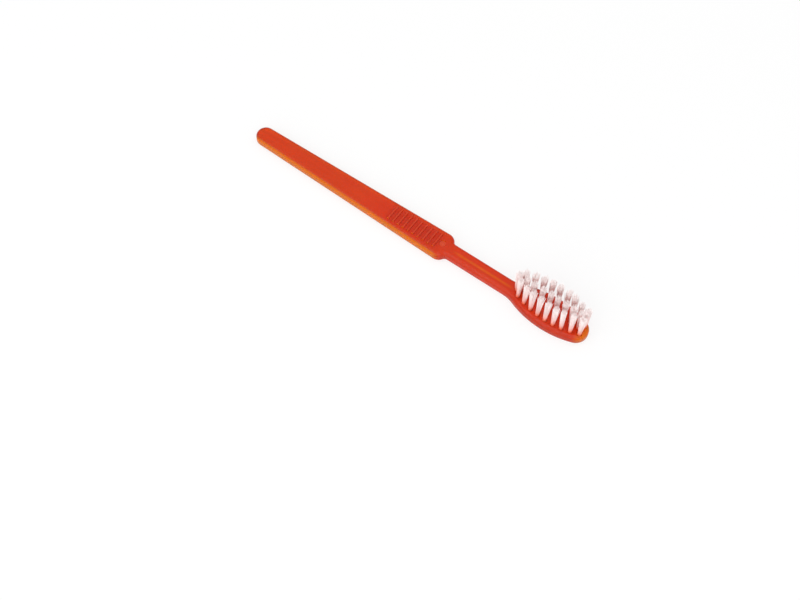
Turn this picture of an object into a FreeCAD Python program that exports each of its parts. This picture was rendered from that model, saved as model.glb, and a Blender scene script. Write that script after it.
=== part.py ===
"""Manual toothbrush: one moulded handle, and tufts held in its head by flat metal anchors.

Millimetres. +X runs from the butt of the handle to the tip of the head, +Z points the way the bristles
point, and the origin is under the middle of the brush, on the flat back that it lies on.
"""
import FreeCAD, Part
import Sketcher
import enum
import math
import os
import re

# Driving dimensions, each an aliased cell of the sheet.
SIZES = {
    # the handle's outline, seen from above, from butt to tip
    "butt_radius": 4.0,
    "grip_length": 97.0,
    "grip_width": 12.0,
    "shoulder_radius": 4.0,
    "neck_root_radius": 1.5,
    "neck_length": 26.4,
    "neck_width": 6.5,
    "neck_blend_radius": 13.0,
    "head_length": 36.6,
    "head_width": 14.4,
    "head_front_length": 16.6,
    "tip_radius": 5.2,
    # its thickness and the rounding of its upper and lower edges
    "body_thickness": 4.6,
    "top_edge_radius": 1.8,
    "back_edge_radius": 1.4,
    # ribs across the flat top of the grip, the first one set back from the neck
    "rib_count": 10,
    "rib_pitch": 2.4,
    "rib_width": 1.2,
    "rib_height": 0.45,
    "rib_length": 6.9,
    "rib_setback": 7.0,
    # round mark of the mould, between the ribs and the neck
    "mark_diameter": 2.8,
    "mark_depth": 0.25,
    "mark_setback": 4.4,
    # blind tuft holes: two outer rows along the edge of the head, and one between them
    "hole_diameter": 1.7,
    "hole_depth": 3.0,
    "row_count": 9,
    "row_edge_margin": 2.5,
    "row_tip_margin": 2.6,
    "row_neck_margin": 6.0,
    # one tuft: straight in its hole, flared above the head
    "tuft_clearance": 0.03,
    "tuft_height": 12.0,
    "tuft_tip_diameter": 2.6,
    "tuft_gap": 0.05,
    # one anchor: flat wire on edge across the hole, standing on the fold of its tuft
    "anchor_bite": 0.3,
    "anchor_thickness": 0.3,
    "anchor_height": 1.5,
    "anchor_clearance": 0.02,
    "fold_thickness": 0.5,
}

# Side of the middle that each row of tufts is on.
ROW_SIDES = {"left": 1, "middle": 0, "right": -1}

# Formulas that several features share.
OVERALL_LENGTH = "(grip_length + neck_length + head_length)"
WIDEST_STATION = f"({OVERALL_LENGTH} - head_front_length)"
HEAD_BACK_LENGTH = "(head_length - head_front_length)"
HEAD_FLARE = "(head_width / 2 - neck_width / 2)"
BACK_RADIUS = f"(({HEAD_BACK_LENGTH}^2 + {HEAD_FLARE}^2) / (2 * {HEAD_FLARE}) - neck_blend_radius)"
FRONT_RADIUS = (
    "(((head_front_length - tip_radius)^2 + (head_width / 2)^2 - tip_radius^2)"
    " / (head_width - 2 * tip_radius))"
)
TUFT_PITCH = "((head_length - row_neck_margin - row_tip_margin) / (row_count - 1))"
ROW_SPACING = f"sqrt(max(0; (tuft_tip_diameter + tuft_gap)^2 - ({TUFT_PITCH} / 2)^2))"
RIB_RADIUS = "(rib_width^2 / 4 + rib_height^2) / (2 * rib_height)"
HOLE_FLOOR = "(body_thickness - hole_depth)"
ANCHOR_LENGTH = "(hole_diameter + 2 * anchor_bite)"

# The sketch's own axis and origin.
AXIS = -1
ORIGIN = (-1, 1)
UP = FreeCAD.Vector(0, 0, 1)
QUARTER_TURN = math.pi / 2


class Point(enum.IntEnum):
    """Numbers that a sketch gives to the points of an arc or a line."""

    START = 1
    END = 2
    CENTRE = 3


START, END, CENTRE = Point

ALIAS = re.compile(r"\b(" + "|".join(SIZES) + r")\b")

doc = FreeCAD.newDocument("toothbrush")
sheet = doc.addObject("Spreadsheet::Sheet", "sizes")


def fill_sheet():
    """Write the driving dimensions, one named cell each."""
    for row, (alias, value) in enumerate(SIZES.items(), start=1):
        sheet.set(f"A{row}", alias)
        sheet.set(f"B{row}", str(value))
        sheet.setAlias(f"B{row}", alias)
    doc.recompute()


def on_sheet(formula):
    """Point the aliases in a formula at their cells."""
    return ALIAS.sub(r"sizes.\1", formula)


def worked(formula):
    """Work out a formula of driving dimensions as a number."""
    return float(sheet.evalExpression(on_sheet(formula)))


def bind(item, formulas):
    """Bind properties of an object to formulas of the sheet's cells."""
    for path, formula in formulas.items():
        item.setExpression(path, on_sheet(formula))


def origin_feature(body, role):
    """Find one of a body's own origin planes or axes."""
    return next(item for item in body.Origin.OriginFeatures if item.Role == role)


def add_sketch(body, name, role, height=None):
    """Start a sketch on a body's origin plane, lifted to a height where one is given."""
    sketch = body.newObject("Sketcher::SketchObject", name)
    sketch.AttachmentSupport = [(origin_feature(body, role), "")]
    sketch.MapMode = "FlatFace"
    if height:
        bind(sketch, {"AttachmentOffset.Base.z": height})
    return sketch


def relate(sketch, relations):
    """Add relations between pieces of sketch geometry, such as tangency."""
    sketch.addConstraint([Sketcher.Constraint(*relation) for relation in relations])


def measure(sketch, dimensions):
    """Add named dimensions to a sketch, each with its formula, and bind them."""
    constraints = [Sketcher.Constraint(*what, worked(formula)) for _, formula, *what in dimensions]
    for index, (name, formula, *_) in zip(sketch.addConstraint(constraints), dimensions):
        sketch.renameConstraint(index, name)
        bind(sketch, {f"Constraints.{name}": formula})


def circle(centre, radius):
    """Make a circle in the plane of a sketch."""
    return Part.Circle(FreeCAD.Vector(*centre, 0), UP, radius)


def arc(centre, radius, start, end):
    """Make an arc of a circle, anticlockwise between two angles."""
    return Part.ArcOfCircle(circle(centre, radius), start, end)


def segment(start, end):
    """Make a straight line."""
    return Part.LineSegment(FreeCAD.Vector(*start, 0), FreeCAD.Vector(*end, 0))


def outline_geometry():
    """Work out the left half of the outline, from the butt round to the tip, as tangent arcs and lines."""
    butt = worked("butt_radius")
    shoulder = worked("shoulder_radius")
    root = worked("neck_root_radius")
    blend = worked("neck_blend_radius")
    back = worked(BACK_RADIUS)
    front = worked(FRONT_RADIUS)
    tip = worked("tip_radius")
    half_grip = worked("grip_width / 2")
    half_neck = worked("neck_width / 2")
    half_head = worked("head_width / 2")
    neck_start = worked("grip_length")
    neck_end = worked("grip_length + neck_length")
    widest = worked(WIDEST_STATION)
    length = worked(OVERALL_LENGTH)

    # the shoulder's round and the root of the neck turn by the same angle
    turn = math.acos(1 - (half_grip - half_neck) / (shoulder + root))
    shoulder_x = neck_start - (shoulder + root) * math.sin(turn)
    shoulder_y = half_grip - shoulder
    # the side of the grip is the common tangent of the butt's round and the shoulder's
    run = math.hypot(shoulder_x - butt, shoulder_y)
    taper = math.atan2(shoulder_y, shoulder_x - butt) + math.asin((shoulder - butt) / run)
    lean = QUARTER_TURN + taper
    out_x = math.cos(lean)
    out_y = math.sin(lean)
    # the hollow at the end of the neck runs into the convex back of the head
    rise = math.acos((widest - neck_end) / (back + blend))
    # the front of the head runs into the round tip
    sweep = math.atan2(front - half_head, length - tip - widest)

    return [
        arc((butt, 0), butt, lean, 2 * QUARTER_TURN),
        segment(
            (butt + butt * out_x, butt * out_y),
            (shoulder_x + shoulder * out_x, shoulder_y + shoulder * out_y),
        ),
        arc((shoulder_x, shoulder_y), shoulder, QUARTER_TURN - turn, lean),
        arc((neck_start, half_neck + root), root, 3 * QUARTER_TURN - turn, 3 * QUARTER_TURN),
        segment((neck_start, half_neck), (neck_end, half_neck)),
        arc((neck_end, half_neck + blend), blend, 3 * QUARTER_TURN, 4 * QUARTER_TURN - rise),
        arc((widest, half_head - back), back, QUARTER_TURN, 2 * QUARTER_TURN - rise),
        arc((widest, half_head - front), front, sweep, QUARTER_TURN),
        arc((length - tip, 0), tip, 0, sweep),
        segment((length, 0), (0, 0)),
    ]


def draw_outline(sketch):
    """Draw and dimension the left half of the outline, closed along the middle of the brush."""
    pieces = sketch.addGeometry(outline_geometry(), False)
    butt, side, shoulder, root, neck, blend, back, front, tip, middle = pieces
    relate(
        sketch,
        [
            ("Coincident", middle, END, *ORIGIN),
            ("PointOnObject", middle, START, AXIS),
            ("Coincident", butt, END, middle, END),
            ("PointOnObject", butt, CENTRE, AXIS),
            ("Tangent", butt, START, side, START),
            ("Tangent", side, END, shoulder, END),
            ("Tangent", shoulder, START, root, START),
            ("Tangent", root, END, neck, START),
            ("Horizontal", neck),
            ("Tangent", neck, END, blend, START),
            ("Tangent", blend, END, back, END),
            ("Vertical", back, CENTRE, back, START),
            ("Tangent", back, START, front, END),
            ("Tangent", front, START, tip, END),
            ("PointOnObject", tip, CENTRE, AXIS),
            ("Coincident", tip, START, middle, START),
        ],
    )
    measure(
        sketch,
        [
            ("butt_round", "butt_radius", "Radius", butt),
            ("shoulder_round", "shoulder_radius", "Radius", shoulder),
            ("neck_root", "neck_root_radius", "Radius", root),
            ("neck_blend", "neck_blend_radius", "Radius", blend),
            ("tip_round", "tip_radius", "Radius", tip),
            ("shoulder_across", "grip_width / 2 - shoulder_radius", "DistanceY", *ORIGIN, shoulder, CENTRE),
            ("neck_across", "neck_width / 2", "DistanceY", *ORIGIN, neck, START),
            ("head_across", "head_width / 2", "DistanceY", *ORIGIN, back, START),
            ("neck_start", "grip_length", "DistanceX", *ORIGIN, neck, START),
            ("neck_end", "grip_length + neck_length", "DistanceX", *ORIGIN, neck, END),
            ("widest", WIDEST_STATION, "DistanceX", *ORIGIN, back, CENTRE),
            ("tip_station", OVERALL_LENGTH, "DistanceX", *ORIGIN, middle, START),
        ],
    )


def flat_edges(shape, height):
    """Name the edges of a shape that lie flat at one height."""
    names = []
    for number, edge in enumerate(shape.Edges, start=1):
        box = edge.BoundBox
        if abs(box.ZMin - height) + abs(box.ZMax - height) < shape.BoundBox.ZLength * 1e-6:
            names.append(f"Edge{number}")
    return names


def add_blank(body):
    """Pad half the outline to the body's thickness, mirror it and round its upper and lower edges."""
    sketch = add_sketch(body, "outline", "XY_Plane")
    draw_outline(sketch)
    half = body.newObject("PartDesign::Pad", "half_blank")
    half.Profile = sketch
    bind(half, {"Length": "body_thickness"})
    blank = body.newObject("PartDesign::Mirrored", "blank")
    blank.Originals = [half]
    blank.MirrorPlane = (origin_feature(body, "XZ_Plane"), [""])
    body.Tip = blank
    doc.recompute()
    for name, height, radius in (
        ("top_rounds", worked("body_thickness"), "top_edge_radius"),
        ("back_rounds", 0, "back_edge_radius"),
    ):
        base = body.Tip
        rounds = body.newObject("PartDesign::Fillet", name)
        rounds.Base = (base, flat_edges(base.Shape, height))
        bind(rounds, {"Radius": radius})
        doc.recompute()


def add_ribs(body):
    """Raise a row of rounded ribs across the flat top of the grip."""
    half = worked("rib_width / 2")
    top = worked("body_thickness")
    station = worked("grip_length - rib_setback")
    radius = worked(RIB_RADIUS)
    spread = math.asin(half / radius)
    centre = (station, top + worked("rib_height") - radius)
    sketch = add_sketch(body, "rib_section", "XZ_Plane")
    crown, foot = sketch.addGeometry(
        [
            arc(centre, radius, QUARTER_TURN - spread, QUARTER_TURN + spread),
            segment((station - half, top), (station + half, top)),
        ],
        False,
    )
    relate(
        sketch,
        [
            ("Coincident", crown, START, foot, END),
            ("Coincident", crown, END, foot, START),
            ("Horizontal", foot),
        ],
    )
    measure(
        sketch,
        [
            ("crown_radius", RIB_RADIUS, "Radius", crown),
            ("width", "rib_width", "DistanceX", foot, START, foot, END),
            ("station", "grip_length - rib_setback", "DistanceX", *ORIGIN, crown, CENTRE),
            ("top", "body_thickness", "DistanceY", *ORIGIN, foot, START),
        ],
    )
    rib = body.newObject("PartDesign::Pad", "rib")
    rib.Profile = sketch
    rib.Midplane = True
    bind(rib, {"Length": "rib_length"})
    ribs = body.newObject("PartDesign::LinearPattern", "ribs")
    ribs.Originals = [rib]
    ribs.Direction = (origin_feature(body, "X_Axis"), [""])
    ribs.Reversed = True
    bind(ribs, {"Length": "(rib_count - 1) * rib_pitch", "Occurrences": "rib_count"})
    body.Tip = ribs
    doc.recompute()


def add_pocket(body, name, sketch, depth):
    """Cut a sketch on the top of the body down to a depth, and see that it took plastic away."""
    before = body.Tip.Shape.Volume
    pocket = body.newObject("PartDesign::Pocket", name)
    pocket.Profile = sketch
    # exact cuts: a fuzzy one can lose a hole that runs into the rounded edge
    pocket.FuzzyTolerance = 0
    bind(pocket, {"Length": depth})
    doc.recompute()
    if not pocket.Shape.Volume < before:
        raise RuntimeError(f"{name} cuts nothing")


def add_mark(body):
    """Sink the round mould mark into the flat top."""
    sketch = add_sketch(body, "mark_circle", "XY_Plane", "body_thickness")
    ring = sketch.addGeometry(circle((0, 0), worked("mark_diameter / 2")), False)
    relate(sketch, [("PointOnObject", ring, CENTRE, AXIS)])
    measure(
        sketch,
        [
            ("diameter", "mark_diameter", "Diameter", ring),
            ("station", "grip_length - mark_setback", "DistanceX", *ORIGIN, ring, CENTRE),
        ],
    )
    add_pocket(body, "mark", sketch, "mark_depth")


def tuft_places():
    """List each tuft's row and number, with the formulas of its station and its distance from the middle.

    The outer rows keep a constant margin from the edge of the head, so they lie on arcs concentric with
    the back and the front of its outline, but never crowd the middle row, which stands half a pitch behind
    them.
    """
    row_count = int(worked("row_count"))
    places = []
    for row, side in ROW_SIDES.items():
        for number in range(1, row_count + 1):
            steps = row_count - number + (0 if side else 0.5)
            reach = f"(head_front_length - row_tip_margin - {steps} * {TUFT_PITCH})"
            radius = f"({reach} < 0 ? {BACK_RADIUS} : {FRONT_RADIUS})"
            edge = f"(head_width / 2 - {radius} + sqrt(({radius} - row_edge_margin)^2 - {reach}^2))"
            across = f"{side} * max({edge}; {ROW_SPACING})" if side else "0"
            places.append((f"{row}_{number}", f"{WIDEST_STATION} + {reach}", across))
    return places


def add_anchor_slots(body, places):
    """Cut the track that each anchor leaves on its way down, to both sides of where its hole will be."""
    sketch = add_sketch(body, "slot_outlines", "XY_Plane", "body_thickness")
    half_length = f"({ANCHOR_LENGTH} / 2 + anchor_clearance)"
    half_width = "(anchor_thickness / 2 + anchor_clearance)"
    dimensions = []
    for name, along, across in places:
        low = (f"{along} - {half_length}", f"{across} - {half_width}")
        high = (f"{along} + {half_length}", f"{across} + {half_width}")
        corners = [
            (worked(x), worked(y))
            for x, y in (low, (high[0], low[1]), high, (low[0], high[1]))
        ]
        ends = zip(corners, corners[1:] + corners[:1])
        near, right, far, left = sketch.addGeometry([segment(a, b) for a, b in ends], False)
        relate(
            sketch,
            [
                ("Coincident", near, END, right, START),
                ("Coincident", right, END, far, START),
                ("Coincident", far, END, left, START),
                ("Coincident", left, END, near, START),
                ("Horizontal", near),
                ("Vertical", right),
                ("Horizontal", far),
                ("Vertical", left),
            ],
        )
        for tag, geometry, (x, y) in (("low", near, low), ("high", far, high)):
            dimensions.append((f"along_{tag}_{name}", x, "DistanceX", *ORIGIN, geometry, START))
            dimensions.append((f"across_{tag}_{name}", y, "DistanceY", *ORIGIN, geometry, START))
    measure(sketch, dimensions)
    add_pocket(body, "anchor_slots", sketch, "hole_depth - fold_thickness")


def add_tuft_holes(body, places):
    """Bore a blind round hole for each tuft into the top of the head."""
    sketch = add_sketch(body, "hole_circles", "XY_Plane", "body_thickness")
    radius = worked("hole_diameter / 2")
    rings = sketch.addGeometry([circle((worked(x), worked(y)), radius) for _, x, y in places], False)
    dimensions = [("diameter", "hole_diameter", "Diameter", rings[0])]
    for ring, (name, along, across) in zip(rings, places):
        dimensions.append((f"along_{name}", along, "DistanceX", *ORIGIN, ring, CENTRE))
        dimensions.append((f"across_{name}", across, "DistanceY", *ORIGIN, ring, CENTRE))
    relate(sketch, [("Equal", rings[0], ring) for ring in rings[1:]])
    measure(sketch, dimensions)
    add_pocket(body, "tuft_holes", sketch, "hole_depth")


def make_handle(places):
    """Build the handle: grip, neck and head in one moulding."""
    body = doc.addObject("PartDesign::Body", "handle")
    bind(body, {"Placement.Base.x": f"-{OVERALL_LENGTH} / 2"})
    add_blank(body)
    add_ribs(body)
    add_mark(body)
    add_anchor_slots(body, places)
    add_tuft_holes(body, places)
    return body


def add_primitive(kind, name, formulas):
    """Add a primitive solid whose sizes and place follow the sheet."""
    item = doc.addObject(kind, name)
    bind(item, formulas)
    return item


def make_tuft(name, along, across):
    """Build one tuft: the bundle of filaments, with the slit that its anchor stands in above the fold."""
    root_radius = "hole_diameter / 2 - tuft_clearance"
    root = add_primitive("Part::Cylinder", f"{name}_root", {"Radius": root_radius, "Height": "hole_depth"})
    flare = add_primitive(
        "Part::Cone",
        f"{name}_flare",
        {
            "Radius1": root_radius,
            "Radius2": "tuft_tip_diameter / 2",
            "Height": "tuft_height",
            "Placement.Base.z": "hole_depth",
        },
    )
    bundle = doc.addObject("Part::Fuse", f"{name}_bundle")
    bundle.Base = root
    bundle.Tool = flare
    slit = add_primitive(
        "Part::Box",
        f"{name}_slit",
        {
            "Length": ANCHOR_LENGTH,
            "Width": "anchor_thickness + 2 * anchor_clearance",
            "Height": "anchor_height + anchor_clearance",
            "Placement.Base.x": f"-{ANCHOR_LENGTH} / 2",
            "Placement.Base.y": "-anchor_thickness / 2 - anchor_clearance",
            "Placement.Base.z": "fold_thickness",
        },
    )
    tuft = doc.addObject("Part::Cut", name)
    tuft.Base = bundle
    tuft.Tool = slit
    bind(
        tuft,
        {
            "Placement.Base.x": f"{along} - {OVERALL_LENGTH} / 2",
            "Placement.Base.y": across,
            "Placement.Base.z": HOLE_FLOOR,
        },
    )
    return tuft


def make_anchor(name, along, across):
    """Build one anchor: a short flat wire on edge, with both ends in the walls of the hole."""
    return add_primitive(
        "Part::Box",
        name,
        {
            "Length": ANCHOR_LENGTH,
            "Width": "anchor_thickness",
            "Height": "anchor_height",
            "Placement.Base.x": f"{along} - {OVERALL_LENGTH} / 2 - {ANCHOR_LENGTH} / 2",
            "Placement.Base.y": f"{across} - anchor_thickness / 2",
            "Placement.Base.z": f"{HOLE_FLOOR} + fold_thickness",
        },
    )


def check_document(parts):
    """Stop if anything in the document failed, or a piece has no sound shape."""
    failed = [item.Name for item in doc.Objects if {"Invalid", "Error"} & set(item.State)]
    failed += [item.Label for item in parts if item.Shape.isNull() or not item.Shape.isValid()]
    if failed:
        raise RuntimeError("failed: " + ", ".join(failed))


def check_holes(handle, places):
    """Stop if a tuft's place in the head was not bored."""
    middle = worked(f"{HOLE_FLOOR} + hole_depth / 2")
    for name, along, across in places:
        point = FreeCAD.Vector(worked(f"{along} - {OVERALL_LENGTH} / 2"), worked(across), middle)
        if handle.Shape.isInside(point, Part.Precision.confusion(), True):
            raise RuntimeError(f"no hole at {name}")


def write_parts(parts):
    """Write each piece to a file of its own name."""
    os.makedirs("parts", exist_ok=True)
    for item in parts:
        item.Shape.exportStep(f"parts/{item.Label}.step")


def main():
    """Build the brush and write its pieces."""
    fill_sheet()
    places = tuft_places()
    handle = make_handle(places)
    parts = [handle]
    parts += [make_tuft(f"tuft_{name}", along, across) for name, along, across in places]
    parts += [make_anchor(f"anchor_{name}", along, across) for name, along, across in places]
    doc.recompute()
    check_document(parts)
    check_holes(handle, places)
    write_parts(parts)


main()
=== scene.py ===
"""Finish of a staple-set toothbrush: tinted handle, nylon tufts and wire anchors on a table."""

import math
import random

import bpy
from bpy.props import FloatProperty, FloatVectorProperty, IntProperty, PointerProperty
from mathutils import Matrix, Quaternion, Vector


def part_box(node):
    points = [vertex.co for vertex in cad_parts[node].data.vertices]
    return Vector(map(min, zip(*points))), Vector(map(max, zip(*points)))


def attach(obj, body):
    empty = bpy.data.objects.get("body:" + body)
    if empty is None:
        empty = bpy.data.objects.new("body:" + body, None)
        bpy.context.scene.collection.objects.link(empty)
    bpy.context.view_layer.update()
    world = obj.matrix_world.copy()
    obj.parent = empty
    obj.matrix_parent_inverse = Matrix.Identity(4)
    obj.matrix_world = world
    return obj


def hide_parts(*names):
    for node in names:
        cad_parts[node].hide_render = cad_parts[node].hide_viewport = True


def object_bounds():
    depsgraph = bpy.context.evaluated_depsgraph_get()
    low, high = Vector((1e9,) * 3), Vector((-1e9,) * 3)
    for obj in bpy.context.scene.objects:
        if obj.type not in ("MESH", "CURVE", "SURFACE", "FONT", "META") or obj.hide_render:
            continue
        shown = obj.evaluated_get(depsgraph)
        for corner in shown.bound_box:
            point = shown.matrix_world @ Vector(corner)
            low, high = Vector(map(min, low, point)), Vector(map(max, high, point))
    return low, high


bl_info = {
    "name": "Toothbrush finish",
    "version": (1, 0, 0),
    "blender": (4, 5, 0),
    "location": "3D View > Sidebar > Toothbrush",
    "description": "Gives the packed toothbrush its plastic, its filaments and a lit table",
    "category": "Object",
}

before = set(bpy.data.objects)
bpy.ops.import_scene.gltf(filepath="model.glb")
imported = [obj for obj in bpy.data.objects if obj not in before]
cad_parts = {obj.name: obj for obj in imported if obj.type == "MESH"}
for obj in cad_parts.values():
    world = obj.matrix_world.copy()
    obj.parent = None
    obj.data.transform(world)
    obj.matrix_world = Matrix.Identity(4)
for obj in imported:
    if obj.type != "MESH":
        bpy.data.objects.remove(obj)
CAD_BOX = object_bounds()
MM = 0.001
TUFTS = sorted(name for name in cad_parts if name.startswith("tuft_"))
ANCHORS = sorted(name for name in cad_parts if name.startswith("anchor_"))


# Shader maths


class Value:
    """A socket of a finish. Arithmetic on it adds Math nodes."""

    def __init__(self, finish, socket):
        self.finish = finish
        self.socket = socket

    def other(self, output):
        """Another output of the same node."""
        return Value(self.finish, pick(self.socket.node.outputs, output))

    def math(self, operation, *operands):
        """The outcome of a Math node."""
        return self.finish.add(
            "ShaderNodeMath", {"operation": operation}, dict(enumerate(operands))
        )

    def __add__(self, other):
        return self.math("ADD", self, other)

    __radd__ = __add__

    def __sub__(self, other):
        return self.math("SUBTRACT", self, other)

    def __rsub__(self, other):
        return self.math("SUBTRACT", other, self)

    def __mul__(self, other):
        return self.math("MULTIPLY", self, other)

    def __truediv__(self, other):
        return self.math("DIVIDE", self, other)

    def __pow__(self, other):
        return self.math("POWER", self, other)

    def __rpow__(self, other):
        return self.math("POWER", other, self)

    def __abs__(self):
        return self.math("ABSOLUTE", self)


def pick(sockets, key):
    """A socket by its index, or the one in use of that name."""
    if isinstance(key, int):
        return sockets[key]
    return next(socket for socket in sockets if socket.name == key and socket.enabled)


class Finish:
    """The node tree of a material or of the world."""

    def __init__(self, owner):
        owner.use_nodes = True
        self.owner = owner
        self.nodes = owner.node_tree.nodes
        self.links = owner.node_tree.links
        self.nodes.clear()

    def add(self, kind, settings=None, inputs=None, output=0):
        """Adds a node: its settings first, then the values or links of its sockets."""
        node = self.nodes.new(kind)
        for name, setting in (settings or {}).items():
            setattr(node, name, setting)
        for name, value in (inputs or {}).items():
            socket = pick(node.inputs, name)
            if isinstance(value, Value):
                self.links.new(value.socket, socket)
            else:
                socket.default_value = value
        return Value(self, pick(node.outputs, output)) if node.outputs else None

    def place(self):
        """The place on the part, in metres."""
        return self.add("ShaderNodeTexCoord", output="Object")

    def facing(self):
        """The way the surface faces."""
        return self.add("ShaderNodeNewGeometry", output="Normal")

    def axes(self, vector):
        """X, Y and Z of a vector."""
        x = self.add("ShaderNodeSeparateXYZ", inputs={"Vector": vector})
        return x, x.other("Y"), x.other("Z")

    def noise(self, place, per_metre, detail=2.0):
        """Noise from 0 to 1 with that many cells per metre along X, Y and Z."""
        spot = self.add("ShaderNodeVectorMath", {"operation": "MULTIPLY"}, {0: place, 1: per_metre})
        return self.add(
            "ShaderNodeTexNoise", inputs={"Vector": spot, "Scale": 1.0, "Detail": detail}
        )

    def ramp(self, value, low, high):
        """0 below low, 1 above high and a smooth rise between; low above high turns it round."""
        if low > high:
            return 1 - self.ramp(value, high, low)
        return self.add(
            "ShaderNodeMapRange",
            {"interpolation_type": "SMOOTHSTEP"},
            {"Value": value, "From Min": low, "From Max": high},
        )

    def mix(self, factor, first, second):
        """A colour that goes from the first to the second as the factor goes from 0 to 1."""
        return self.add(
            "ShaderNodeMix",
            {"data_type": "RGBA"},
            {"Factor": factor, "A": first, "B": second},
            "Result",
        )

    def bump(self, height, distance):
        """A surface raised by up to that distance."""
        return self.add(
            "ShaderNodeBump", inputs={"Height": height, "Distance": distance, "Strength": 1.0}
        )


def rgba(colour, gain=1.0):
    """A colour for a socket, made brighter or darker by the gain."""
    return (*(min(1.0, part * gain) for part in colour), 1.0)


# Materials. A pair holds the two ends of a ramp: where it is 0 and where it is 1.

# Lengths of the handle, along X
WARM_START = 5 * MM
WARM_FROM_BUTT = 25 * MM
GRIP_END = (15 * MM, 11 * MM)
NECK_START = (17 * MM, 22 * MM)
NECK_END = (48 * MM, 42 * MM)
TIP_FROM_END = (4.5 * MM, 1 * MM)
RIBS_START = (-14 * MM, -12.5 * MM)
RIBS_END = (12 * MM, 10.5 * MM)

# Widths of the handle, along Y
NECK_LINE_ASIDE = 0.5 * MM
NECK_LINE_HALF = (0.95 * MM, 0.05 * MM)
RIBS_HALF = (4.2 * MM, 3.4 * MM)

# Heights on the handle, along Z
HANDLE_TOP = 4.6 * MM
UPPER_HALF = (2.4 * MM, 3.4 * MM)
RIB_CREST = (4.64 * MM, 4.95 * MM)
RIB_FOOT = (4.8 * MM, 4.62 * MM)

# How far a surface faces up, or to a side
EDGE_TURN = (0.97, 0.7)
SIDE_TURN = (0.42, 0.98)
NECK_LINE_TURN = (0.7, 0.95)
RIBS_TURN = (0.3, 0.6)
MARK_TURN = (0.6, 0.9)

# The handle's moulding in cells per metre, and shares of a colour for its tone, its painted glow,
# painted highlights and painted shade
STREAK_CELLS = (28, 420, 420)
CLOUD_CELLS = (95, 95, 95)
SMEAR_CELLS = (160, 240, 240)
RIPPLE_CELLS = (110, 260, 260)
STREAK_GAIN = (0.94, 1.06)
STREAK_BAND = (0.3, 0.7)
CLOUD_BAND = (0.35, 0.75)
SMEAR_BAND = (0.35, 0.8)
BUTT_WARMTH = 0.5
CLOUD_WARMTH = 0.25
WARMTH = 0.16
EDGE_GAIN = 0.75
EDGE_SHARE = 0.2
GRIP_EDGE_SHARE = 0.6
TIP_GLOW_SHARE = 0.7
NECK_HIGHLIGHT_SHARE = 0.42
CREST_HIGHLIGHT_SHARE = 0.15
GROOVE_SHADE_SHARE = 0.28
MARK_SHARE = 0.35
MARK_RIM = (1.02, 0.8)
SMEAR_ROUGHNESS = 0.07
MARK_ROUGHNESS = 0.2
RIPPLE_HEIGHT = 0.01 * MM
PLASTIC_IOR = 1.35
PLASTIC_GLOSS = 0.2

# The filaments
DRAW_CELLS = (2500, 2500, 260)
DRAW_BAND = (0.45, 0.8)
DRAW_SHARE = 0.2
DRAW_GAIN = 0.95
FILAMENT_GAIN = (0.985, 1.01)
PAINTED_BOUNCE_AND_SHADE_SHARE = 1.2
NYLON_ROUGHNESS = 0.32
DRAW_ROUGHNESS = 0.14
NYLON_IOR = 1.5
NYLON_GLOSS = 0.3

# The wire
WIRE_CELLS = (300, 9000, 9000)
WIRE_BAND = (0.3, 0.7)
WIRE_GAIN = (0.9, 1.08)
TARNISH_CELLS = (1400, 1400, 1400)
TARNISH_BAND = (0.5, 0.85)
TARNISH_SHARE = 0.5
CUT_TURN = (0.6, 0.9)
WIRE_ROUGHNESS = 0.28
STREAK_ROUGHNESS = 0.2
CUT_ROUGHNESS = 0.25
WIRE_HEIGHT = 0.004 * MM

# The room
CEILING_BLEND = 0.08
BACK_WALL_TURN = (-0.3, 0.7)


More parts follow.
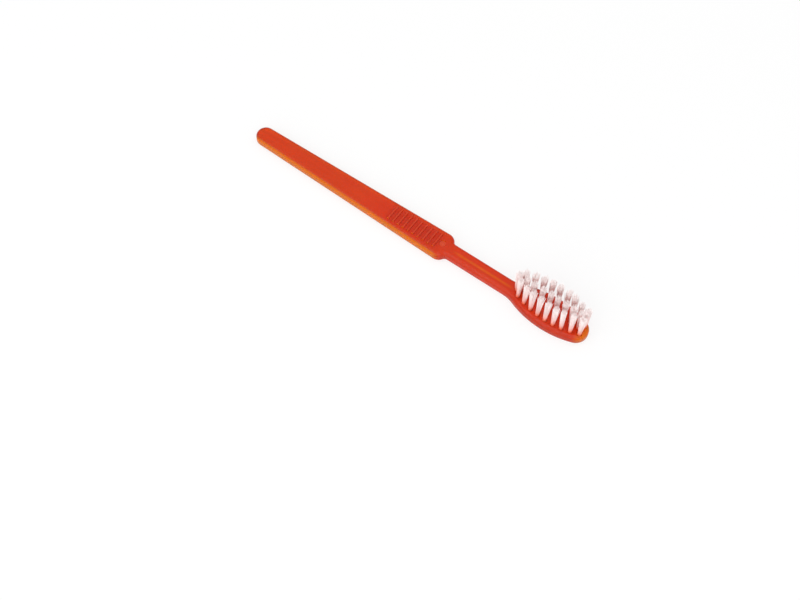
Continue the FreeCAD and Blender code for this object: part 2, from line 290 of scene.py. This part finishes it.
def handle_plastic(look):
    """Tinted plastic that lets light through: red where thick, with a painted golden glow down the
    grip's sides.
    """
    finish = Finish(bpy.data.materials.new("handle_plastic_red"))
    place = finish.place()
    x, y, z = finish.axes(place)
    _, face_y, face_z = finish.axes(finish.facing())
    low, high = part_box("handle")
    streaks = finish.ramp(finish.noise(place, STREAK_CELLS, detail=3.0), *STREAK_BAND)
    cloud = finish.ramp(finish.noise(place, CLOUD_CELLS), *CLOUD_BAND)
    smears = finish.ramp(finish.noise(place, SMEAR_CELLS, detail=4.0), *SMEAR_BAND)
    ripple = finish.noise(place, RIPPLE_CELLS, detail=1.0)

    # The thick of the body, warmer towards the butt by a little of the glow colour, and painted
    # shade on its upper rounded edges.
    dull, bright = (rgba(look.colour, gain) for gain in STREAK_GAIN)
    body = finish.mix(streaks, dull, bright)
    butt = finish.ramp(x, WARM_START, low.x + WARM_FROM_BUTT)
    warm = butt * BUTT_WARMTH + cloud * CLOUD_WARMTH
    body = finish.mix(warm * WARMTH, body, rgba(look.painted_glow_colour))
    grip = finish.ramp(x, *GRIP_END)
    edge = finish.ramp(face_z, *EDGE_TURN) * finish.ramp(z, *UPPER_HALF)
    edge = edge * (EDGE_SHARE + grip * GRIP_EDGE_SHARE)
    body = finish.mix(edge, body, rgba(look.painted_shade_colour, EDGE_GAIN))

    # Painted glow where thin plastic would let light through: down the grip's sides and at the
    # head's tip, and a painted highlight down the neck.
    side = finish.ramp(abs(face_y), *SIDE_TURN) * grip
    tip = finish.ramp(x, *(high.x - inset for inset in TIP_FROM_END)) * TIP_GLOW_SHARE
    neck = finish.ramp(x, *NECK_START) * finish.ramp(x, *NECK_END)
    line = neck * finish.ramp(abs(y + NECK_LINE_ASIDE), *NECK_LINE_HALF)
    line = line * finish.ramp(face_z, *NECK_LINE_TURN) * NECK_HIGHLIGHT_SHARE
    painted_glow_mask = finish.add("ShaderNodeMath", {"operation": "MAXIMUM"}, {0: side, 1: tip + line})
    body = finish.mix(painted_glow_mask, body, rgba(look.painted_glow_colour))

    # Painted highlight on the crests of the ribs, painted shade in the grooves between them, and
    # the matte round mark.
    ribs = finish.ramp(x, *RIBS_START) * finish.ramp(x, *RIBS_END)
    ribs = ribs * finish.ramp(face_z, *RIBS_TURN)
    crest = ribs * finish.ramp(z, *RIB_CREST)
    groove = ribs * finish.ramp(z, *RIB_FOOT) * finish.ramp(abs(y), *RIBS_HALF)
    body = finish.mix(crest * CREST_HIGHLIGHT_SHARE, body, rgba(look.mark_and_crest_highlight_colour))
    body = finish.mix(groove * GROOVE_SHADE_SHARE, body, rgba(look.painted_shade_colour))
    along = x - look.mark_place
    away = (along * along + y * y) ** 0.5
    rim = (look.mark_diameter / 2 * share for share in MARK_RIM)
    mark = finish.ramp(away, *rim) * finish.ramp(face_z, *MARK_TURN)
    body = finish.mix(mark * MARK_SHARE, body, rgba(look.mark_and_crest_highlight_colour))

    plastic = finish.add(
        "ShaderNodeBsdfPrincipled",
        inputs={
            "Base Color": body,
            "Roughness": look.roughness + smears * SMEAR_ROUGHNESS + mark * MARK_ROUGHNESS,
            "IOR": PLASTIC_IOR,
            "Specular IOR Level": PLASTIC_GLOSS,
            "Transmission Weight": look.clearness,
            "Normal": finish.bump(ripple, RIPPLE_HEIGHT),
        },
    )
    depth = finish.add(
        "ShaderNodeVolumeAbsorption",
        inputs={"Color": rgba(look.depth_colour), "Density": look.depth},
    )
    finish.add("ShaderNodeOutputMaterial", inputs={"Surface": plastic, "Volume": depth})
    return finish.owner


def bristle_nylon(look):
    """White nylon filament, with painted red bounce light from the handle and painted shade towards
    its root.
    """
    finish = Finish(bpy.data.materials.new("bristle_nylon_white"))
    place = finish.place()
    _, _, z = finish.axes(place)
    each = finish.add("ShaderNodeNewGeometry", output="Random Per Island")
    draw = finish.noise(place, DRAW_CELLS)
    # Painted red bounce light from the handle and painted shade, fading up from the root
    root = math.e ** ((HANDLE_TOP - z) / look.painted_bounce_and_shade_fade)
    dull, bright = (rgba(look.colour, gain) for gain in FILAMENT_GAIN)
    body = finish.mix(each, dull, bright)
    drawn = finish.ramp(draw, *DRAW_BAND) * DRAW_SHARE
    body = finish.mix(drawn, body, rgba(look.colour, DRAW_GAIN))
    body = finish.mix(root * PAINTED_BOUNCE_AND_SHADE_SHARE, body, rgba(look.painted_bounce_and_shade_colour))
    nylon = finish.add(
        "ShaderNodeBsdfPrincipled",
        inputs={
            "Base Color": body,
            "Roughness": NYLON_ROUGHNESS + draw * DRAW_ROUGHNESS,
            "IOR": NYLON_IOR,
            "Specular IOR Level": NYLON_GLOSS,
        },
    )
    finish.add("ShaderNodeOutputMaterial", inputs={"Surface": nylon})
    return finish.owner


def anchor_wire(look):
    """Drawn brass wire, streaked along its length and dull where it was cut off."""
    finish = Finish(bpy.data.materials.new("anchor_wire_brass"))
    place = finish.place()
    face_x, _, _ = finish.axes(finish.facing())
    drawn = finish.noise(place, WIRE_CELLS, detail=3.0)
    tarnish = finish.noise(place, TARNISH_CELLS, detail=3.0)
    cut = finish.ramp(abs(face_x), *CUT_TURN)
    dull, bright = (rgba(look.colour, gain) for gain in WIRE_GAIN)
    body = finish.mix(finish.ramp(drawn, *WIRE_BAND), dull, bright)
    tarnished = finish.ramp(tarnish, *TARNISH_BAND) * TARNISH_SHARE
    body = finish.mix(tarnished, body, rgba(look.tarnish_colour))
    brass = finish.add(
        "ShaderNodeBsdfPrincipled",
        inputs={
            "Base Color": body,
            "Metallic": 1.0,
            "Roughness": WIRE_ROUGHNESS + drawn * STREAK_ROUGHNESS + cut * CUT_ROUGHNESS,
            "Normal": finish.bump(drawn, WIRE_HEIGHT),
        },
    )
    finish.add("ShaderNodeOutputMaterial", inputs={"Surface": brass})
    return finish.owner


def table_white(look):
    """Matte table: a share of what is seen of it is plain white, the rest takes the shadow."""
    finish = Finish(bpy.data.materials.new("table_white"))
    ray = finish.add("ShaderNodeLightPath", output="Is Camera Ray")
    seen = finish.add(
        "ShaderNodeMath",
        {"operation": "ADD", "use_clamp": True},
        {0: ray + ray.other("Is Glossy Ray"), 1: ray.other("Is Transmission Ray")},
    )
    matte = finish.add("ShaderNodeBsdfDiffuse", inputs={"Color": rgba(look.table_colour)})
    white = finish.add("ShaderNodeEmission", inputs={"Color": (1, 1, 1, 1), "Strength": 1.0})
    both = finish.add(
        "ShaderNodeMixShader", inputs={0: seen * look.table_white, 1: matte, 2: white}
    )
    finish.add("ShaderNodeOutputMaterial", inputs={"Surface": both})
    return finish.owner


def studio_world(look):
    """Pale walls in front, a dimmer wall behind and a pale ceiling."""
    finish = Finish(bpy.data.worlds.new("studio"))
    _, y, z = finish.axes(finish.add("ShaderNodeTexCoord", output="Generated"))
    level = math.sin(look.wall_height)
    up = finish.ramp(z, level - CEILING_BLEND, level + CEILING_BLEND)
    behind = finish.ramp(y, *BACK_WALL_TURN)
    wall = finish.mix(behind, rgba(look.wall_colour), rgba(look.back_colour))
    colour = finish.mix(up, wall, rgba(look.ceiling_colour))
    light = finish.add("ShaderNodeBackground", inputs={"Color": colour, "Strength": 1.0})
    finish.add("ShaderNodeOutputWorld", inputs={"Surface": light})
    return finish.owner


# What a user would change


def colour_property(name, description, default):
    return FloatVectorProperty(
        name=name, description=description, default=default, size=3, min=0, max=1, subtype="COLOR"
    )


def length_property(name, description, default, low=0.0):
    return FloatProperty(
        name=name, description=description, default=default, min=low, precision=5, unit="LENGTH"
    )


def share_property(name, description, default):
    return FloatProperty(
        name=name, description=description, default=default, min=0, max=1, subtype="FACTOR"
    )


def power_property(name, description, default):
    return FloatProperty(name=name, description=description, default=default, min=0, unit="POWER")


def angle_property(name, description, degrees):
    return FloatProperty(
        name=name, description=description, default=math.radians(degrees), subtype="ANGLE"
    )


def place_property(name, description, default):
    return FloatVectorProperty(
        name=name, description=description, default=default, subtype="TRANSLATION"
    )


class HandleLook(bpy.types.PropertyGroup):
    colour: colour_property("Body", "Colour of the thick of the plastic", (0.78, 0.052, 0.009))
    # Colour of the painted glow on the grip's sides and the head's tip, of the painted highlight
    # down the neck, and of the warm tone near the butt
    painted_glow_colour: colour_property(
        "Edge glow", "Colour where the plastic is thin", (0.97, 0.29, 0.002)
    )
    # Colour of the painted shade on the upper rounded edges and in the grooves of the ribs
    painted_shade_colour: colour_property(
        "Deep red", "Colour of the rounded edges and of the grooves", (0.56, 0.021, 0.005)
    )
    # The round mark's own colour, also used for the painted highlight on the rib crests
    mark_and_crest_highlight_colour: colour_property(
        "Moulding mark", "Colour of the matte round mark and of the rib crests", (0.95, 0.24, 0.11)
    )
    depth_colour: colour_property(
        "Depth", "Colour that light keeps on its way through", (0.93, 0.30, 0.05)
    )
    depth: FloatProperty(
        name="Density",
        description="How fast light takes on that colour, per metre",
        default=140.0,
        min=0,
    )
    clearness: share_property("Clearness", "Share of the light that goes through", 0.6)
    roughness: share_property("Roughness", "Roughness of the gloss", 0.17)
    mark_place: length_property(
        "Mark place", "Where along the handle the round mark is", 12.6 * MM, -0.1
    )
    mark_diameter: length_property("Mark size", "Diameter of the round mark", 2.8 * MM)


class TuftLook(bpy.types.PropertyGroup):
    colour: colour_property("Nylon", "Colour of the filaments", (0.995, 0.96, 0.955))
    # Painted red bounce light from the handle and painted shade, strongest at the root
    painted_bounce_and_shade_colour: colour_property(
        "Root", "Tint that the handle gives their roots", (0.90, 0.20, 0.10)
    )
    painted_bounce_and_shade_fade: length_property(
        "Root fade", "Height over which that tint fades", 3.5 * MM, 0.1 * MM
    )
    filament: length_property("Filament", "Diameter of one filament", 0.17 * MM, 0.05 * MM)
    uneven: length_property(
        "Trim", "How far a filament's end may fall short of the trimmed top", 0.35 * MM
    )
    packing: FloatProperty(
        name="Packing",
        description="Spacing of the filaments in the hole, in diameters",
        default=0.86,
        min=0.7,
        max=1.2,
    )
    splay: FloatProperty(
        name="Splay",
        description="Spread of the trimmed top, in tuft widths",
        default=1.1,
        min=0.8,
        max=1.3,
    )
    stray: length_property("Stray", "How far a filament's end may wander sideways", 0.26 * MM)
    lean: length_property("Lean", "How far a whole tuft's top may lean sideways", 0.32 * MM)
    seed: IntProperty(
        name="Seed", description="Picks another spread of the filaments", default=4, min=0
    )


class AnchorLook(bpy.types.PropertyGroup):
    colour: colour_property("Brass", "Colour of the clean wire", (0.78, 0.62, 0.34))
    tarnish_colour: colour_property("Tarnish", "Colour of the dulled wire", (0.42, 0.31, 0.16))


class StageLook(bpy.types.PropertyGroup):
    table_colour: colour_property("Table", "Colour of the table", (0.95, 0.95, 0.95))
    table_white: share_property(
        "Plain white", "Share of the seen table that is plain white", 0.75
    )
    wall_colour: colour_property("Walls", "Colour of the room in front", (0.95, 0.95, 0.95))
    back_colour: colour_property("Back wall", "Colour of the room behind", (0.45, 0.45, 0.45))
    ceiling_colour: colour_property("Ceiling", "Colour of the room overhead", (0.88, 0.88, 0.88))
    wall_height: angle_property("Wall height", "How high the walls go", 50)
    key_power: power_property("Main lamp", "Power of the main lamp", 4.0)
    fill_power: power_property("Second lamp", "Power of the second lamp", 0.7)
    eye: place_property("Camera", "Where the camera stands", (0.158668, -0.256515, 0.469935))
    aim: place_property("Aim", "Where the camera looks", (0.012748, -0.028612, 0.0))
    tilt: angle_property("Tilt", "Turn of the camera about its own line of sight", 3.696)
    lens: FloatProperty(
        name="Lens", description="Focal length", default=63.0, min=1, unit="CAMERA"
    )


# Filaments

# How far round its axis a tuft looks for its hole, and the band below its top that is its tip
HOLE_SEARCH = 1.1 * MM
TIP_BAND = 0.1 * MM
# A tuft's own share of the splay, and the bow of a filament
SPLAY_SHARE = (0.88, 1.12)
BOW = (0.9, 1.35)
# Spread of the filaments' ends sideways and below the trimmed top
STRAY_SPREAD = 0.6
TRIM_SPREAD = 0.4
# The share of the filaments that stray further, and how much further
WILD_SHARE = 0.08
WILD_STRAY = 2.0
# How near to the middle of the tuft a filament may leave the hole, in diameters
NEAREST = 0.4
# A rounded end: how far below the end, and which share of the radius
END_ROUNDING = ((0.0, 0.35), (0.02 * MM, 0.75), (0.06 * MM, 1.0))
# Points up a leg, in shares of its height, and round the fold, in degrees
LEG_POINTS = (0.84, 0.66, 0.48, 0.32, 0.16, 0.0)
FOLD_POINTS = (30, 60, 90, 120, 150)


def tuft_seat(node):
    """A tuft's axis, radii and heights, read from its solid, its anchor and the handle."""
    low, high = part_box(node)
    wire_low, wire_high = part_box(node.replace("tuft_", "anchor_"))
    axis = (wire_low + wire_high) / 2

    def profile(name):
        points = (vertex.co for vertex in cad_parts[name].data.vertices)
        return [(p.z, math.hypot(p.x - axis.x, p.y - axis.y)) for p in points]

    near = [z for z, radius in profile("handle") if radius < HOLE_SEARCH]
    if not near:
        raise RuntimeError(f"the handle has no hole under {node}")
    mouth = max(near)
    tuft = profile(node)
    return {
        "x": axis.x,
        "y": axis.y,
        "top": high.z,
        "mouth": mouth,
        "wire_top": wire_high.z,
        "wire_bottom": wire_low.z,
        "wire_half": (wire_high.y - wire_low.y) / 2,
        "floor": low.z,
        "root_radius": max(radius for z, radius in tuft if z < mouth),
        "tip_radius": max(radius for z, radius in tuft if z > high.z - TIP_BAND),
    }


def folded_filaments(seat, look, rng):
    """The filaments of one tuft, laid in nested folds round the foot of the anchor."""
    thick = look.filament
    step = thick * look.packing
    reach = seat["root_radius"] - thick / 2
    lean = Vector((rng.uniform(-1, 1), rng.uniform(-1, 1))) * look.lean
    splay = look.splay * rng.uniform(*SPLAY_SHARE)
    filaments = []
    layer = 0
    while True:
        aside = seat["wire_half"] + thick / 2 + step * layer
        if aside >= reach:
            return filaments
        under = max(seat["wire_bottom"] - thick / 2 - step * layer, seat["floor"] + thick / 2)
        half_row = math.sqrt(reach**2 - aside**2)
        count = int(2 * half_row / step) + 1
        for column in range(count):
            along = (column - (count - 1) / 2) * step
            filaments.append(folded_filament(seat, look, rng, lean, splay, along, aside, under))
        layer += 1


def folded_filament(seat, look, rng, lean, splay, along, aside, under):
    """One filament, as points and relative radii: down past the anchor, under it and up again."""
    thick = look.filament
    reach = seat["root_radius"] - thick / 2
    spread = splay * (seat["tip_radius"] - thick / 2) / reach
    fullest = math.sqrt(max(0.0, reach**2 - along**2))
    inner = seat["wire_half"] + thick / 2
    share = min(1.0, (aside - inner) / max(fullest - inner, thick))
    across = max(thick * NEAREST, share * fullest)

    def leg(side):
        root = Vector((along, side * across))
        wander = look.stray * (WILD_STRAY if rng.random() < WILD_SHARE else 1.0)
        drift = Vector((rng.gauss(0, STRAY_SPREAD), rng.gauss(0, STRAY_SPREAD))) * wander
        tip = root * spread + lean + drift
        top = seat["top"] - min(1.0, abs(rng.gauss(0, TRIM_SPREAD))) * look.uneven
        bow = rng.uniform(*BOW)
        rise = top - seat["mouth"]
        points = []
        for short, radius in END_ROUNDING:
            points.append(((tip.x, tip.y, top - short), radius))
        for height in LEG_POINTS:
            spot = root.lerp(tip, height**bow)
            points.append(((spot.x, spot.y, seat["mouth"] + rise * height), 1.0))
        for height in (seat["wire_top"], seat["wire_bottom"]):
            points.append(((along, side * aside, height), 1.0))
        return points

    drop = seat["wire_bottom"] - under
    fold = []
    for degrees in FOLD_POINTS:
        turn = math.radians(degrees)
        height = seat["wire_bottom"] - drop * math.sin(turn)
        fold.append(((along, aside * math.cos(turn), height), 1.0))
    return leg(1) + fold + leg(-1)[::-1]


def filament_mesh(name, filaments, seat, look):
    """Round filaments along the given points, as one mesh."""
    curve = bpy.data.curves.new(name, "CURVE")
    curve.dimensions = "3D"
    curve.bevel_depth = look.filament / 2
    curve.bevel_resolution = 1
    curve.use_fill_caps = True
    for filament in filaments:
        spline = curve.splines.new("POLY")
        spline.points.add(len(filament) - 1)
        for point, ((px, py, pz), radius) in zip(spline.points, filament):
            point.co = (seat["x"] + px, seat["y"] + py, pz, 1.0)
            point.radius = radius
    shape = bpy.data.objects.new(name, curve)
    mesh = bpy.data.meshes.new_from_object(shape)
    bpy.data.objects.remove(shape)
    bpy.data.curves.remove(curve)
    mesh.name = name
    mesh.shade_smooth()
    return mesh


# Stage

# The table's half width in part lengths, and its gap below the part
TABLE_REACH = 20
TABLE_GAP = 0.1 * MM
# Name, setting of the power, diameter and place of each lamp, in metres
LAMPS = (
    ("main_lamp", "key_power", 1.3, (0.10, -0.60, 0.58)),
    ("second_lamp", "fill_power", 1.2, (0.50, 0.35, 0.85)),
)
# Light goes from filament to filament many times before it leaves a tuft
LIGHT_BOUNCES = 32
SENSOR_WIDTH = 36.0
NEAREST_SEEN = 0.01


def look_along(holder, direction):
    """Turns a lamp or camera to that direction."""
    holder.rotation_mode = "QUATERNION"
    holder.rotation_quaternion = direction.to_track_quat("-Z", "Y")


def lay_table(scene, look):
    half = TABLE_REACH * (CAD_BOX[1].x - CAD_BOX[0].x)
    level = CAD_BOX[0].z - TABLE_GAP
    corners = [(x * half, y * half, level) for x, y in ((-1, -1), (1, -1), (1, 1), (-1, 1))]
    mesh = bpy.data.meshes.new("table")
    mesh.from_pydata(corners, [], [(0, 1, 2, 3)])
    mesh.materials.append(table_white(look))
    table = bpy.data.objects.new("table", mesh)
    scene.collection.objects.link(table)


def hang_lamps(scene, look):
    for name, power, size, spot in LAMPS:
        lamp = bpy.data.lights.new(name, "AREA")
        lamp.shape = "DISK"
        lamp.size = size
        lamp.energy = getattr(look, power)
        holder = bpy.data.objects.new(name, lamp)
        holder.location = spot
        look_along(holder, -Vector(spot))
        scene.collection.objects.link(holder)


def place_camera(scene, look):
    lens = bpy.data.cameras.new("camera")
    lens.lens = look.lens
    lens.sensor_width = SENSOR_WIDTH
    lens.clip_start = NEAREST_SEEN
    camera = bpy.data.objects.new("camera", lens)
    camera.location = look.eye
    look_along(camera, Vector(look.aim) - Vector(look.eye))
    camera.rotation_quaternion = camera.rotation_quaternion @ Quaternion((0, 0, 1), look.tilt)
    scene.collection.objects.link(camera)
    scene.camera = camera


# Operators


class TOOTHBRUSH_OT_finish_handle(bpy.types.Operator):
    """Give the moulded handle its clear tinted plastic"""

    bl_idname = "toothbrush.finish_handle"
    bl_label = "Finish handle"

    def execute(self, context):
        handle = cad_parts["handle"]
        handle.data.materials.clear()
        handle.data.materials.append(handle_plastic(context.scene.toothbrush_handle))
        return {"FINISHED"}


class TOOTHBRUSH_OT_set_tufts(bpy.types.Operator):
    """Set every hole of the head with its tuft of folded filaments"""

    bl_idname = "toothbrush.set_tufts"
    bl_label = "Set tufts"

    def execute(self, context):
        look = context.scene.toothbrush_tufts
        nylon = bristle_nylon(look)
        for node in TUFTS:
            seat = tuft_seat(node)
            filaments = folded_filaments(seat, look, random.Random(f"{look.seed} {node}"))
            if not filaments:
                raise RuntimeError(f"no filament fits the hole of {node}")
            mesh = filament_mesh(f"{node}_filaments", filaments, seat, look)
            mesh.materials.append(nylon)
            piece = bpy.data.objects.new(f"{node}_filaments", mesh)
            context.scene.collection.objects.link(piece)
            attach(piece, "root")
            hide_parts(node)
        return {"FINISHED"}


class TOOTHBRUSH_OT_finish_anchors(bpy.types.Operator):
    """Give the wire anchors in the holes their drawn brass"""

    bl_idname = "toothbrush.finish_anchors"
    bl_label = "Finish anchors"

    def execute(self, context):
        brass = anchor_wire(context.scene.toothbrush_anchors)
        for node in ANCHORS:
            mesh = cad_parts[node].data
            mesh.materials.clear()
            mesh.materials.append(brass)
        return {"FINISHED"}


class TOOTHBRUSH_OT_set_stage(bpy.types.Operator):
    """Lay the table, light it and place the camera"""

    bl_idname = "toothbrush.set_stage"
    bl_label = "Set stage"

    def execute(self, context):
        scene = context.scene
        look = scene.toothbrush_stage
        scene.view_settings.view_transform = "Standard"
        scene.cycles.max_bounces = LIGHT_BOUNCES
        scene.cycles.diffuse_bounces = LIGHT_BOUNCES
        scene.world = studio_world(look)
        lay_table(scene, look)
        hang_lamps(scene, look)
        place_camera(scene, look)
        return {"FINISHED"}


class TOOTHBRUSH_PT_finish(bpy.types.Panel):
    """Sizes and colours of the toothbrush, and the steps that use them"""

    bl_idname = "TOOTHBRUSH_PT_finish"
    bl_label = "Toothbrush"
    bl_space_type = "VIEW_3D"
    bl_region_type = "UI"
    bl_category = "Toothbrush"

    def draw(self, context):
        for operator, group in STEPS:
            box = self.layout.box()
            look = getattr(context.scene, group)
            for name in look.__annotations__:
                box.prop(look, name)
            box.operator(operator)


STEPS = (
    ("toothbrush.finish_handle", "toothbrush_handle"),
    ("toothbrush.set_tufts", "toothbrush_tufts"),
    ("toothbrush.finish_anchors", "toothbrush_anchors"),
    ("toothbrush.set_stage", "toothbrush_stage"),
)
GROUPS = {
    "toothbrush_handle": HandleLook,
    "toothbrush_tufts": TuftLook,
    "toothbrush_anchors": AnchorLook,
    "toothbrush_stage": StageLook,
}
CLASSES = (
    *GROUPS.values(),
    TOOTHBRUSH_OT_finish_handle,
    TOOTHBRUSH_OT_set_tufts,
    TOOTHBRUSH_OT_finish_anchors,
    TOOTHBRUSH_OT_set_stage,
    TOOTHBRUSH_PT_finish,
)


def register():
    for cls in CLASSES:
        bpy.utils.register_class(cls)
    for name, group in GROUPS.items():
        setattr(bpy.types.Scene, name, PointerProperty(type=group))


def unregister():
    for name in GROUPS:
        delattr(bpy.types.Scene, name)
    for cls in reversed(CLASSES):
        bpy.utils.unregister_class(cls)


def main():
    register()
    bpy.ops.toothbrush.finish_handle()
    bpy.ops.toothbrush.set_tufts()
    bpy.ops.toothbrush.finish_anchors()
    bpy.ops.toothbrush.set_stage()


if __name__ == "__main__":
    main()
